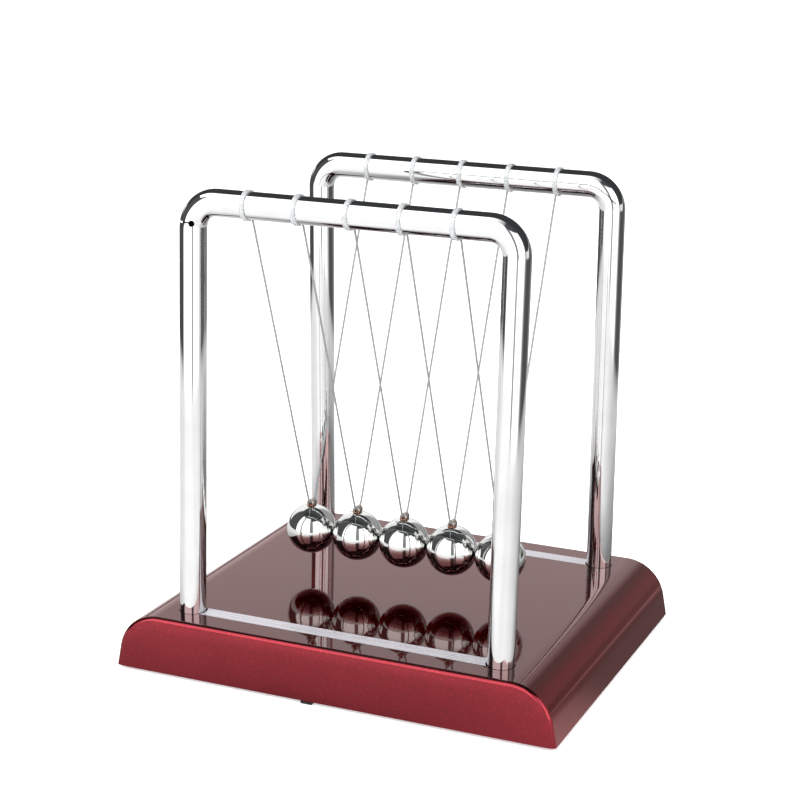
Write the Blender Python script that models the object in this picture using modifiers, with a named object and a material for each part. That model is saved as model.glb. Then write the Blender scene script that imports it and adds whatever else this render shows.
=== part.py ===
"""Newton's cradle: five steel balls hung on nylon lines between two bent tube frames on a lacquered base."""

import math

import bmesh
import bpy
from mathutils import Matrix, Vector

# Driving dimensions, in metres. X runs along the row of balls, Y across the two frames, Z up.
GAP = 0.0003
FOOT_HEIGHT = 0.0015

BASE_LENGTH = 0.182
BASE_DEPTH = 0.148
BASE_HEIGHT = 0.0225
END_ARC_RADIUS = 0.0170
END_DRAFT = math.radians(10.5)
EDGE_ROUND = 0.0017
WALL = 0.0025

POST_X = 0.0642
POST_Y = 0.0595
LEAN = math.radians(1.4)
TUBE_RADIUS = 0.0052
TUBE_WALL = 0.0010
BAR_HEIGHT = 0.1850
BEND_RADIUS = 0.0100
VENT_RADIUS = 0.0012
VENT_DROP = 0.0079
VENT_TURN = math.radians(20)
VENT_REACH = 0.0030

BOSS_RADIUS = 0.0080
SOCKET_FLOOR = 0.0030
PLUG_LENGTH = 0.0100
PLUG_RADIUS = TUBE_RADIUS - TUBE_WALL - GAP
SCREW_RADIUS = 0.0019
SCREW_HOLE = SCREW_RADIUS + GAP
SCREW_HEAD_RADIUS = 0.0034
SCREW_HEAD_HEIGHT = 0.0018
SCREW_HEAD_CHAMFER = 0.0006
SCREW_TIP_TAPER = 0.0009
SCREW_LENGTH = 0.0125

PLATE_RECESS = 0.0005
PLATE_THICKNESS = 0.0025
COUNTERBORE = 0.0012
BALLAST_SIZE = (0.100, 0.080, 0.004)

TAB_WIDTH = 0.0046
TAB_X = -0.0082
TAB_SETBACK = 0.0002
TAB_OVERLAP = 0.0040
NECK_DEPTH = 0.0030
NECK_SETBACK = 0.0010

STRIP_WIDTH = 0.0068
STRIP_THICKNESS = 0.0008
STRIP_PROUD = 0.0001
STRIP_END_SETBACK = 0.0041

FOOT_RADIUS = 0.0050
FOOT_CHAMFER = 0.0005
FOOT_X = 0.0750
FOOT_Y = 0.0610

BALL_COUNT = 5
BALL_RADIUS = 0.0102
BALL_PITCH = 2 * BALL_RADIUS + GAP
BALL_HEIGHT = 0.0427

EYELET_RADIUS = 0.0016
EYELET_BORE = 0.00075
EYELET_LENGTH = 0.0036
EYELET_SEAT = 0.0007

LINE_RADIUS = 0.00025
LINE_LIFT = 0.0002
LINE_INSIDE = 0.0004
LINE_OUTSIDE = 0.0008
LINE_BEND_RISE = 0.0006

COLLAR_WIDTH = 0.0018
COLLAR_WALL = 0.0004
KNOT_RADIUS = 0.0007
HINGE_DROP = 0.0058

# Levels that follow from the dimensions above.
SHELL_BOTTOM = FOOT_HEIGHT
BASE_TOP = SHELL_BOTTOM + BASE_HEIGHT
PLATE_BOTTOM = SHELL_BOTTOM + PLATE_RECESS
PLATE_TOP = PLATE_BOTTOM + PLATE_THICKNESS
BOSS_BOTTOM = PLATE_TOP + GAP
SOCKET_BOTTOM = BOSS_BOTTOM + SOCKET_FLOOR
TUBE_END = SOCKET_BOTTOM + GAP
BAR_RISE = BAR_HEIGHT - BASE_TOP
BAR_Y = POST_Y - BAR_RISE * math.sin(LEAN)
BAR_Z = BASE_TOP + BAR_RISE * math.cos(LEAN)
HINGE_HEIGHT = BAR_Z - HINGE_DROP
COLLAR_INNER = TUBE_RADIUS + GAP
COLLAR_OUTER = COLLAR_INNER + COLLAR_WALL
KNOT_REACH = COLLAR_OUTER + KNOT_RADIUS + GAP
KNOT_Y = BAR_Y - math.sqrt(KNOT_REACH**2 - HINGE_DROP**2)
EYELET_HEIGHT = BALL_HEIGHT + BALL_RADIUS + EYELET_RADIUS - EYELET_SEAT

# How far a cutter reaches past the piece that it cuts, and how near points are welded.
CUT_REACH = 0.0100
CUT_OVERLAP = 0.0020
SKIRT = 0.0040
WELD = 0.00001

ROUND_STEPS = 16
FINE_STEPS = 12
TRIM_STEPS = 8
ARC_STEPS = 8
BEND_STEPS = 5
BALL_STEPS = 24
SHARP_ANGLE = math.radians(35)


def clear_scene():
    for obj in list(bpy.data.objects):
        bpy.data.objects.remove(obj, do_unlink=True)


def new_collection(name):
    collection = bpy.data.collections.new(name)
    bpy.context.scene.collection.children.link(collection)
    return collection


def make_material(name, color, metallic, roughness):
    material = bpy.data.materials.new(name)
    material.use_nodes = True
    shader = material.node_tree.nodes["Principled BSDF"]
    shader.inputs["Base Color"].default_value = (*color, 1.0)
    shader.inputs["Metallic"].default_value = metallic
    shader.inputs["Roughness"].default_value = roughness
    material.diffuse_color = (*color, 1.0)
    return material


def add_mesh(name, bm, collection, material=None):
    mesh = bpy.data.meshes.new(name)
    bm.to_mesh(mesh)
    bm.free()
    obj = bpy.data.objects.new(name, mesh)
    collection.objects.link(obj)
    if material:
        mesh.materials.append(material)
    return obj


def smooth(obj):
    obj.data.shade_smooth()
    obj.data.set_sharp_from_angle(angle=SHARP_ANGLE)


def make_box(name, size, centre, collection, material=None):
    bm = bmesh.new()
    matrix = Matrix.Translation(centre) @ Matrix.Diagonal((*size, 1.0))
    bmesh.ops.create_cube(bm, size=1.0, matrix=matrix)
    return add_mesh(name, bm, collection, material)


def make_cylinder(name, radius, bottom, top, place, collection, steps=ROUND_STEPS):
    """An upright cylinder at place (x, y), from bottom to top."""
    bm = bmesh.new()
    matrix = Matrix.Translation((place[0], place[1], (bottom + top) / 2))
    bmesh.ops.create_cone(
        bm, cap_ends=True, segments=steps, radius1=radius, radius2=radius, depth=top - bottom, matrix=matrix
    )
    return add_mesh(name, bm, collection)


def make_turned(name, profile, closed, steps, collection, material):
    """A profile of (radius, height) points turned about Z, running down its outer side."""
    bm = bmesh.new()
    verts = [bm.verts.new((radius, 0.0, height)) for radius, height in profile]
    for first, second in zip(verts, verts[1:]):
        bm.edges.new((first, second))
    if closed:
        bm.edges.new((verts[-1], verts[0]))
    obj = add_mesh(name, bm, collection, material)
    screw = obj.modifiers.new("turn", "SCREW")
    screw.steps = steps
    screw.render_steps = steps
    screw.use_merge_vertices = True
    screw.merge_threshold = WELD
    screw.use_smooth_shade = True
    return obj


def make_ring(name, inner, outer, width, steps, collection, material):
    """A plain ring about Z, centred on the origin."""
    half = width / 2
    profile = [(outer, half), (outer, -half), (inner, -half), (inner, half)]
    return make_turned(name, profile, True, steps, collection, material)


def freeze(obj, name, collection, material=None):
    """The evaluated object as a plain mesh, with loose caps welded; the original goes."""
    graph = bpy.context.evaluated_depsgraph_get()
    mesh = bpy.data.meshes.new_from_object(obj.evaluated_get(graph))
    bm = bmesh.new()
    bm.from_mesh(mesh)
    bmesh.ops.remove_doubles(bm, verts=bm.verts, dist=WELD)
    bm.to_mesh(mesh)
    bm.free()
    matrix = obj.matrix_world.copy()
    bpy.data.objects.remove(obj, do_unlink=True)
    solid = bpy.data.objects.new(name, mesh)
    solid.matrix_world = matrix
    collection.objects.link(solid)
    mesh.materials.clear()
    if material:
        mesh.materials.append(material)
    return solid


def extrude_outline(name, outline, half_depth, round_off, collection, material=None):
    """An outline of (x, z) points made into a solid along Y, its end edges rounded by round_off."""
    curve = bpy.data.curves.new(name, "CURVE")
    curve.dimensions = "2D"
    curve.fill_mode = "BOTH"
    curve.extrude = half_depth - round_off
    if round_off:
        curve.bevel_depth = round_off
        curve.offset = -round_off
        curve.bevel_resolution = 1
    spline = curve.splines.new("POLY")
    spline.points.add(len(outline) - 1)
    for point, (x, z) in zip(spline.points, outline):
        point.co = (x, z, 0.0, 1.0)
    spline.use_cyclic_u = True
    obj = bpy.data.objects.new(name, curve)
    obj.rotation_euler = (math.pi / 2, 0.0, 0.0)
    collection.objects.link(obj)
    bpy.context.view_layer.update()
    return freeze(obj, name, collection, material)


def cut(target, cutters):
    for cutter in cutters:
        cutter.hide_render = True
        cutter.display_type = "WIRE"
        boolean = target.modifiers.new(cutter.name, "BOOLEAN")
        boolean.operation = "DIFFERENCE"
        boolean.object = cutter


def join(target, pieces):
    for piece in pieces:
        piece.hide_render = True
        piece.display_type = "WIRE"
        boolean = target.modifiers.new(piece.name, "BOOLEAN")
        boolean.operation = "UNION"
        boolean.object = piece


def lean_matrix(side):
    """Tips a frame inwards about the line where it enters the base; side is -1 front, 1 back."""
    pivot = Vector((0.0, side * POST_Y, BASE_TOP))
    turn = Matrix.Rotation(side * LEAN, 4, "X")
    return Matrix.Translation(pivot) @ turn @ Matrix.Translation(-pivot)


def base_outline(inset, floor):
    """Half outlines mirrored: a slanted wall, a quarter arc and a flat top, moved in by inset."""
    radius = END_ARC_RADIUS - inset
    arc_start = BASE_HEIGHT - END_ARC_RADIUS * (1 - math.sin(END_DRAFT))
    centre_x = BASE_LENGTH / 2 - arc_start * math.tan(END_DRAFT) - END_ARC_RADIUS * math.cos(END_DRAFT)
    centre_z = BASE_TOP - END_ARC_RADIUS
    right = []
    for step in range(ARC_STEPS + 1):
        angle = END_DRAFT + (math.pi / 2 - END_DRAFT) * step / ARC_STEPS
        right.append((centre_x + radius * math.cos(angle), centre_z + radius * math.sin(angle)))
    start_x, start_z = right[0]
    foot_x = start_x + (start_z - floor) * math.tan(END_DRAFT)
    right.insert(0, (foot_x, floor))
    left = [(-x, z) for x, z in reversed(right)]
    return right + left


def corners():
    return [(sx, sy) for sy in (-1, 1) for sx in (-1, 1)]


def make_base(parts, cutters, lacquer):
    """The hollow lacquered shell: four post sockets, two inlay grooves, an open underside."""
    below = SHELL_BOTTOM - SKIRT
    outline = base_outline(0.0, below)
    shell = extrude_outline("base_shell", outline, BASE_DEPTH / 2, EDGE_ROUND, parts, lacquer)
    hollow = extrude_outline("hollow", base_outline(WALL, below), BASE_DEPTH / 2 - WALL, 0.0, cutters)
    floor_size = (BASE_LENGTH + 2 * CUT_REACH, BASE_DEPTH + 2 * CUT_REACH, 2 * SKIRT)
    floor = make_box("floor_cut", floor_size, (0.0, 0.0, SHELL_BOTTOM - SKIRT), cutters)
    cut(shell, [floor, hollow])
    bosses = []
    for index, (sx, sy) in enumerate(corners()):
        place = (sx * POST_X, sy * POST_Y)
        top = BASE_TOP - WALL / 2
        bosses.append(make_cylinder(f"boss_{index}", BOSS_RADIUS, BOSS_BOTTOM, top, place, cutters))
    join(shell, bosses)
    holes = []
    for index, (sx, sy) in enumerate(corners()):
        place = (sx * POST_X, sy * POST_Y)
        hole_radius = TUBE_RADIUS + GAP
        socket_top = BASE_TOP + CUT_REACH
        socket = make_cylinder(f"socket_{index}", hole_radius, SOCKET_BOTTOM, socket_top, place, cutters)
        passage_top = SOCKET_BOTTOM + CUT_OVERLAP
        passage = make_cylinder(
            f"passage_{index}", SCREW_HOLE, -CUT_REACH, passage_top, place, cutters, FINE_STEPS
        )
        for cutter in (socket, passage):
            cutter.matrix_world = lean_matrix(sy)
            holes.append(cutter)
    for side in (-1, 1):
        groove_length = 2 * (POST_X - STRIP_END_SETBACK + GAP)
        depth = STRIP_THICKNESS + GAP
        size = (groove_length, STRIP_WIDTH + 2 * GAP, 2 * depth)
        holes.append(make_box(f"groove_{side}", size, (0.0, side * POST_Y, BASE_TOP), cutters))
    cut(shell, holes)
    return shell


def make_cover(parts, cutters, plastic):
    """The bottom plate inside the shell's walls, with a pull tab under the front wall."""
    inner = base_outline(WALL + GAP, PLATE_TOP)
    half_length = max(x for x, z in inner) - GAP
    half_depth = BASE_DEPTH / 2 - WALL - GAP
    centre = (0.0, 0.0, (PLATE_BOTTOM + PLATE_TOP) / 2)
    plate = make_box("base_cover", (2 * half_length, 2 * half_depth, PLATE_THICKNESS), centre, parts, plastic)
    tab_front = BASE_DEPTH / 2 - TAB_SETBACK
    tab_back = half_depth - TAB_OVERLAP
    tab_top = SHELL_BOTTOM - GAP
    tab_bottom = GAP
    tab_size = (TAB_WIDTH, tab_front - tab_back, tab_top - tab_bottom)
    tab_centre = (TAB_X, -(tab_front + tab_back) / 2, (tab_top + tab_bottom) / 2)
    neck_front = half_depth - NECK_SETBACK
    neck_top = PLATE_TOP - NECK_SETBACK
    neck_size = (TAB_WIDTH, NECK_DEPTH, neck_top - tab_bottom)
    neck_centre = (TAB_X, NECK_DEPTH / 2 - neck_front, (neck_top + tab_bottom) / 2)
    tab = make_box("tab", tab_size, tab_centre, cutters)
    neck = make_box("tab_neck", neck_size, neck_centre, cutters)
    join(plate, [neck, tab])
    holes = []
    for index, (sx, sy) in enumerate(corners()):
        place = (sx * POST_X, sy * POST_Y)
        hole = make_cylinder(
            f"plate_hole_{index}", SCREW_HOLE, -CUT_REACH, CUT_REACH, place, cutters, FINE_STEPS
        )
        seat_radius = SCREW_HEAD_RADIUS + GAP
        seat_top = PLATE_BOTTOM + COUNTERBORE
        seat = make_cylinder(f"seat_{index}", seat_radius, -CUT_REACH, seat_top, place, cutters)
        for cutter in (hole, seat):
            cutter.matrix_world = lean_matrix(sy)
            holes.append(cutter)
    cut(plate, holes)
    return plate


def make_ballast(parts, steel):
    """The steel weight that lies on the bottom plate between the sockets."""
    centre = (0.0, 0.0, PLATE_TOP + GAP + BALLAST_SIZE[2] / 2)
    return make_box("ballast_plate", BALLAST_SIZE, centre, parts, steel)


def make_strip(name, side, parts, cutters, silver):
    """An inlay strip whose ends are hollowed to fit round the two posts."""
    length = 2 * (POST_X - STRIP_END_SETBACK)
    bottom = BASE_TOP - STRIP_THICKNESS
    top = BASE_TOP + STRIP_PROUD
    size = (length, STRIP_WIDTH, top - bottom)
    strip = make_box(name, size, (0.0, side * POST_Y, (top + bottom) / 2), parts, silver)
    radius = TUBE_RADIUS + 2 * GAP
    clearances = []
    for index, sx in enumerate((-1, 1)):
        place = (sx * POST_X, side * POST_Y)
        clearance = make_cylinder(f"{name}_clearance_{index}", radius, 0.0, 2 * BASE_TOP, place, cutters)
        clearances.append(clearance)
    cut(strip, clearances)
    return strip


def frame_route(side):
    """The centre line of one frame: up a leg, round a bend, along the bar and down again."""
    points = [(-POST_X, TUBE_END)]
    for sx, first, last in ((-1, math.pi, math.pi / 2), (1, math.pi / 2, 0.0)):
        centre_x = sx * (POST_X - BEND_RADIUS)
        centre_z = BAR_HEIGHT - BEND_RADIUS
        for step in range(BEND_STEPS + 1):
            angle = first + (last - first) * step / BEND_STEPS
            across = BEND_RADIUS * math.cos(angle)
            along = BEND_RADIUS * math.sin(angle)
            points.append((centre_x + across, centre_z + along))
    points.append((POST_X, TUBE_END))
    return [Vector((x, side * POST_Y, z)) for x, z in points]


def make_frame(name, side, parts, cutters, chrome):
    """A hollow tube bent into an upside-down U, with one small vent hole below a bend."""
    curve = bpy.data.curves.new(name, "CURVE")
    curve.dimensions = "3D"
    curve.bevel_depth = TUBE_RADIUS
    curve.bevel_resolution = ROUND_STEPS // 4
    route = frame_route(side)
    spline = curve.splines.new("POLY")
    spline.points.add(len(route) - 1)
    for point, place in zip(spline.points, route):
        point.co = (*place, 1.0)
    obj = bpy.data.objects.new(name, curve)
    parts.objects.link(obj)
    bpy.context.view_layer.update()
    tube = freeze(obj, name, parts, chrome)
    wall = tube.modifiers.new("wall", "SOLIDIFY")
    wall.thickness = TUBE_WALL
    wall.offset = -1.0
    start = TUBE_RADIUS - VENT_REACH
    end = TUBE_RADIUS + VENT_REACH
    vent = make_cylinder(f"vent_{side}", VENT_RADIUS, start, end, (0.0, 0.0), cutters, TRIM_STEPS)
    cut(tube, [vent])
    place = Matrix.Translation((side * POST_X, side * POST_Y, BAR_HEIGHT - VENT_DROP))
    outwards = Matrix.Rotation(VENT_TURN, 4, "Z") @ Matrix.Rotation(-side * math.pi / 2, 4, "X")
    vent.matrix_world = lean_matrix(side) @ place @ outwards
    tube.matrix_world = lean_matrix(side)
    return tube


def make_plug(name, sx, side, parts, brass):
    """The threaded insert in a tube's lower end."""
    plug = make_ring(name, SCREW_HOLE, PLUG_RADIUS, PLUG_LENGTH, FINE_STEPS, parts, brass)
    place = Matrix.Translation((sx * POST_X, side * POST_Y, TUBE_END + PLUG_LENGTH / 2))
    plug.matrix_world = lean_matrix(side) @ place
    return plug


def make_frame_screw(name, sx, side, parts, steel):
    """The screw that comes up through the bottom plate into a tube's insert."""
    head_top = PLATE_BOTTOM + COUNTERBORE - GAP
    head_bottom = head_top - SCREW_HEAD_HEIGHT
    tip = head_top + SCREW_LENGTH
    profile = [
        (0.0, tip),
        (SCREW_RADIUS - SCREW_TIP_TAPER, tip),
        (SCREW_RADIUS, tip - SCREW_TIP_TAPER),
        (SCREW_RADIUS, head_top),
        (SCREW_HEAD_RADIUS, head_top),
        (SCREW_HEAD_RADIUS, head_bottom + SCREW_HEAD_CHAMFER),
        (SCREW_HEAD_RADIUS - SCREW_HEAD_CHAMFER, head_bottom),
        (0.0, head_bottom),
    ]
    screw = make_turned(name, profile, False, FINE_STEPS, parts, steel)
    screw.matrix_world = lean_matrix(side) @ Matrix.Translation((sx * POST_X, side * POST_Y, 0.0))
    return screw


def make_foot(name, sx, sy, parts, rubber):
    top = PLATE_BOTTOM - GAP
    profile = [
        (0.0, top),
        (FOOT_RADIUS, top),
        (FOOT_RADIUS, FOOT_CHAMFER),
        (FOOT_RADIUS - FOOT_CHAMFER, 0.0),
        (0.0, 0.0),
    ]
    foot = make_turned(name, profile, False, ROUND_STEPS, parts, rubber)
    foot.location = (sx * FOOT_X, sy * FOOT_Y, 0.0)
    return foot


def make_collar(name, x, side, parts, clear):
    """The clear ring on the bar that keeps one line in its place."""
    collar = make_ring(name, COLLAR_INNER, COLLAR_OUTER, COLLAR_WIDTH, ROUND_STEPS, parts, clear)
    collar.rotation_euler = (0.0, math.pi / 2, 0.0)
    collar.location = (x, side * BAR_Y, BAR_Z)
    return collar


def make_knot(name, x, side, parts, nylon):
    """The knotted end of a line, held against its collar."""
    bm = bmesh.new()
    bmesh.ops.create_uvsphere(bm, u_segments=TRIM_STEPS, v_segments=5, radius=KNOT_RADIUS)
    knot = add_mesh(name, bm, parts, nylon)
    smooth(knot)
    knot.location = (x, side * KNOT_Y, HINGE_HEIGHT)
    return knot


def make_ball(name, pivot, parts, cutters, chrome):
    """A steel ball with a short trough across its top for the eyelet."""
    bm = bmesh.new()
    drop = Matrix.Translation((0.0, 0.0, BALL_HEIGHT - HINGE_HEIGHT))
    bmesh.ops.create_uvsphere(
        bm, u_segments=BALL_STEPS, v_segments=BALL_STEPS // 2, radius=BALL_RADIUS, matrix=drop
    )
    ball = add_mesh(name, bm, parts, chrome)
    smooth(ball)
    ball.parent = pivot
    reach = EYELET_LENGTH / 2 + CUT_OVERLAP
    trough = make_cylinder(
        f"{name}_trough", EYELET_RADIUS + GAP, -reach, reach, (0.0, 0.0), cutters, ROUND_STEPS
    )
    trough.rotation_euler = (math.pi / 2, 0.0, 0.0)
    trough.location = (0.0, 0.0, EYELET_HEIGHT - HINGE_HEIGHT)
    trough.parent = pivot
    cut(ball, [trough])
    return ball


def make_eyelet(name, pivot, parts, copper):
    """The small tube on top of a ball, through which its line runs."""
    eyelet = make_ring(name, EYELET_BORE, EYELET_RADIUS, EYELET_LENGTH, FINE_STEPS, parts, copper)
    eyelet.rotation_euler = (math.pi / 2, 0.0, 0.0)
    eyelet.location = (0.0, 0.0, EYELET_HEIGHT - HINGE_HEIGHT)
    eyelet.parent = pivot
    return eyelet


def line_route():
    """From the front knot down to the eyelet, through its bore and up to the back knot, about the hinge."""
    bottom = EYELET_HEIGHT - HINGE_HEIGHT + LINE_LIFT
    inside = EYELET_LENGTH / 2 - LINE_INSIDE
    outside = EYELET_LENGTH / 2 + LINE_OUTSIDE
    top = Vector((0.0, KNOT_Y, 0.0))
    bend = Vector((0.0, outside, bottom + LINE_BEND_RISE))
    clear = (bend - top).normalized() * (KNOT_RADIUS + GAP)
    half = [top + clear, bend, Vector((0.0, inside, bottom))]
    front = [Vector((0.0, -point.y, point.z)) for point in half]
    return front + list(reversed(half))


def make_line(name, pivot, parts, nylon):
    """One nylon line in a V: both of its ends are held at the bars."""
    curve = bpy.data.curves.new(name, "CURVE")
    curve.dimensions = "3D"
    curve.bevel_depth = LINE_RADIUS
    curve.bevel_resolution = 2
    curve.use_fill_caps = True
    route = line_route()
    spline = curve.splines.new("POLY")
    spline.points.add(len(route) - 1)
    for point, place in zip(spline.points, route):
        point.co = (*place, 1.0)
    line = bpy.data.objects.new(name, curve)
    curve.materials.append(nylon)
    parts.objects.link(line)
    line.parent = pivot
    return line


def main():
    clear_scene()
    parts = new_collection("newtons_cradle")
    cutters = new_collection("cutters")
    lacquer = make_material("red_lacquer", (0.16, 0.012, 0.022), 0.3, 0.18)
    chrome = make_material("chrome_tube", (0.83, 0.83, 0.84), 1.0, 0.05)
    polished = make_material("polished_ball", (0.80, 0.80, 0.81), 1.0, 0.04)
    silver = make_material("silver_strip", (0.80, 0.80, 0.83), 0.9, 0.30)
    plastic = make_material("black_plastic", (0.03, 0.03, 0.03), 0.0, 0.50)
    steel = make_material("plain_steel", (0.45, 0.45, 0.46), 1.0, 0.35)
    brass = make_material("brass_insert", (0.70, 0.50, 0.20), 1.0, 0.30)
    rubber = make_material("rubber_foot", (0.04, 0.04, 0.04), 0.0, 0.80)
    clear = make_material("clear_collar", (0.85, 0.87, 0.88), 0.0, 0.15)
    nylon = make_material("nylon_line", (0.75, 0.76, 0.78), 0.0, 0.30)
    copper = make_material("copper_eyelet", (0.70, 0.38, 0.26), 1.0, 0.25)

    make_base(parts, cutters, lacquer)
    make_cover(parts, cutters, plastic)
    make_ballast(parts, steel)
    for word, side in (("front", -1), ("back", 1)):
        make_strip(f"{word}_strip", side, parts, cutters, silver)
        make_frame(f"{word}_frame", side, parts, cutters, chrome)
        for hand, sx in (("left", -1), ("right", 1)):
            make_plug(f"{word}_{hand}_insert", sx, side, parts, brass)
            make_frame_screw(f"{word}_{hand}_screw", sx, side, parts, steel)
            make_foot(f"{word}_{hand}_foot", sx, side, parts, rubber)
    for index in range(BALL_COUNT):
        number = index + 1
        x = (index - (BALL_COUNT - 1) / 2) * BALL_PITCH
        for word, side in (("front", -1), ("back", 1)):
            make_collar(f"{word}_collar_{number}", x, side, parts, clear)
            make_knot(f"{word}_knot_{number}", x, side, parts, nylon)
        pivot = bpy.data.objects.new(f"swing_{number}", None)
        pivot.location = (x, 0.0, HINGE_HEIGHT)
        parts.objects.link(pivot)
        make_ball(f"ball_{number}", pivot, parts, cutters, polished)
        make_eyelet(f"eyelet_{number}", pivot, parts, copper)
        make_line(f"line_{number}", pivot, parts, nylon)


main()
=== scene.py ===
"""Looks for the Newton's cradle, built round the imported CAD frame.

Everything is in metres in the CAD's frame. Most pieces are rebuilt with finer shapes. The base's
plates, the inserts and the strips stay the CAD's own and only get materials and soft edges.
"""

import math

import bmesh
import bpy
from mathutils import Matrix, Vector


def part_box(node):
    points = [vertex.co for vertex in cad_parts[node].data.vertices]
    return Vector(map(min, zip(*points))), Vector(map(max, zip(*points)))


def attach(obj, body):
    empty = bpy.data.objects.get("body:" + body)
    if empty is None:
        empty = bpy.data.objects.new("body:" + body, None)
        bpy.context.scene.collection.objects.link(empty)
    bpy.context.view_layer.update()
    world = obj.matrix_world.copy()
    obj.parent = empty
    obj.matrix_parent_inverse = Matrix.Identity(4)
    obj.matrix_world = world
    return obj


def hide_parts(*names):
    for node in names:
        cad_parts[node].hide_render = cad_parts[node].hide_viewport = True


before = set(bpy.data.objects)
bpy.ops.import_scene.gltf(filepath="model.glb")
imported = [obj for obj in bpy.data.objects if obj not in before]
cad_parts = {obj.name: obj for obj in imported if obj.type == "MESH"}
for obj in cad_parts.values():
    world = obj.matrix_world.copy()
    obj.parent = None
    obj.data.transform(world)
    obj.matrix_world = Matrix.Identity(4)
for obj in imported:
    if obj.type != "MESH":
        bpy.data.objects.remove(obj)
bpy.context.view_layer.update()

# ---------------------------------------------------------------- sizes
BASE_LENGTH = 0.182
BASE_DEPTH = 0.148
BASE_HEIGHT = 0.0225
SHELL_BOTTOM = 0.0015
BASE_TOP = SHELL_BOTTOM + BASE_HEIGHT
END_ARC_RADIUS = 0.0170
END_DRAFT = math.radians(10.5)
EDGE_ROUND = 0.0017
EDGE_TAIL = 0.0050
EDGE_TILT = math.radians(6.5)
WALL = 0.0025
GAP = 0.0003

POST_X = 0.0642
POST_Y = 0.0595
LEAN = math.radians(1.4)
TUBE_RADIUS = 0.0052
TUBE_WALL = 0.0010
TUBE_END = 0.0081
BAR_HEIGHT = 0.1850
BEND_RADIUS = 0.0100
VENT_RADIUS = 0.0012
VENT_DROP = 0.0079
VENT_TURN = math.radians(20)
VENT_FROM = 0.0022
VENT_TO = 0.0082
SLIT_SIZE = (0.0075, 0.0050, 0.0006)
SLIT_PLACE = (0.0030, 0.0042, 0.0003)
BOSS_RADIUS = 0.0080
BOSS_BOTTOM = 0.0048
SOCKET_RADIUS = TUBE_RADIUS + GAP * 0.8
SOCKET_BOTTOM = 0.0078
SCREW_HOLE = 0.0022
STRIP_WIDTH = 0.0068
STRIP_DEPTH = 0.0008

LINE_RADIUS = 0.00040
COLLAR_INNER = TUBE_RADIUS + GAP / 3
EYELET_BORE = 0.00075
EYELET_HEIGHT = 0.0538
KNOT_STRAND = 0.00019
KNOT_REACH = 0.00055

SIDES = (("front", -1), ("back", 1))
HANDS = (("left", -1), ("right", 1))
NUMBERS = range(1, 6)

# ---------------------------------------------------------------- camera
CAMERA_PLACE = Vector((0.28621, -0.68410, 0.30366))
CAMERA_AZIMUTH = math.radians(22.91)
CAMERA_ELEVATION = math.radians(15.19)
CAMERA_ROLL = math.radians(0.97)
FOCAL_PIXELS = 1939.6
FRAME_PIXELS = 800
SENSOR_WIDTH = 36.0
NEAR_CLIP = 0.01


def make_camera():
    data = bpy.data.cameras.new("camera")
    data.sensor_width = SENSOR_WIDTH
    data.lens = FOCAL_PIXELS * SENSOR_WIDTH / FRAME_PIXELS
    data.clip_start = NEAR_CLIP
    camera = bpy.data.objects.new("camera", data)
    bpy.context.scene.collection.objects.link(camera)
    az, el = CAMERA_AZIMUTH, CAMERA_ELEVATION
    forward = Vector((-math.sin(az) * math.cos(el), math.cos(az) * math.cos(el), -math.sin(el)))
    right = Vector((math.cos(az), math.sin(az), 0.0))
    up = right.cross(forward)
    turned_right = right * math.cos(CAMERA_ROLL) + up * math.sin(CAMERA_ROLL)
    turned_up = up * math.cos(CAMERA_ROLL) - right * math.sin(CAMERA_ROLL)
    axes = Matrix((turned_right, turned_up, -forward)).transposed().to_4x4()
    camera.matrix_world = Matrix.Translation(CAMERA_PLACE) @ axes
    bpy.context.scene.camera = camera


# ---------------------------------------------------------------- mesh tools
ON_AXIS = 1e-9
FLAT_WEIGHT = 90


def link(name, mesh):
    obj = bpy.data.objects.new(name, mesh)
    bpy.context.scene.collection.objects.link(obj)
    return obj


def from_bmesh(name, bm):
    bmesh.ops.recalc_face_normals(bm, faces=bm.faces)
    mesh = bpy.data.meshes.new(name)
    bm.to_mesh(mesh)
    bm.free()
    return link(name, mesh)


def smooth(obj, angle, weighted=False):
    """Smooth shading up to the angle in degrees; weighted keeps broad faces flat."""
    obj.data.shade_smooth()
    obj.data.set_sharp_from_angle(angle=math.radians(angle))
    if weighted:
        modifier = obj.modifiers.new("even_normals", "WEIGHTED_NORMAL")
        modifier.keep_sharp = True
        modifier.weight = FLAT_WEIGHT


def loft(name, rings, closed=False):
    """A solid through rings of points; closed joins the last ring to the first, else ends are capped."""
    bm = bmesh.new()
    loops = [[bm.verts.new(point) for point in ring] for ring in rings]
    pairs = list(zip(loops, loops[1:]))
    if closed:
        pairs.append((loops[-1], loops[0]))
    for first, second in pairs:
        count = len(first)
        for index in range(count):
            after = (index + 1) % count
            bm.faces.new((first[index], first[after], second[after], second[index]))
    if not closed:
        bm.faces.new(list(reversed(loops[0])))
        bm.faces.new(loops[-1])
    return from_bmesh(name, bm)


def lathe(name, profile, steps, closed=False):
    """A profile of (radius, height) points turned about Z; open profiles start and end on the axis."""
    bm = bmesh.new()
    columns = []
    for step in range(steps):
        angle = 2 * math.pi * step / steps
        cos, sin = math.cos(angle), math.sin(angle)
        columns.append([None if r < ON_AXIS else bm.verts.new((r * cos, r * sin, z)) for r, z in profile])
    if not closed:
        for end in (0, -1):
            tip = bm.verts.new((0.0, 0.0, profile[end][1]))
            for column in columns:
                column[end] = tip
    count = len(profile)
    last = count if closed else count - 1
    for step in range(steps):
        here, there = columns[step], columns[(step + 1) % steps]
        for index in range(last):
            after = (index + 1) % count
            quad = [here[index], here[after], there[after], there[index]]
            bm.faces.new([v for i, v in enumerate(quad) if v not in quad[:i]])
    return from_bmesh(name, bm)


def box(name, size, centre, matrix=None):
    bm = bmesh.new()
    place = Matrix.Translation(centre) @ Matrix.Diagonal((*size, 1.0))
    bmesh.ops.create_cube(bm, size=1.0, matrix=(matrix or Matrix.Identity(4)) @ place)
    return from_bmesh(name, bm)


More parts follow.
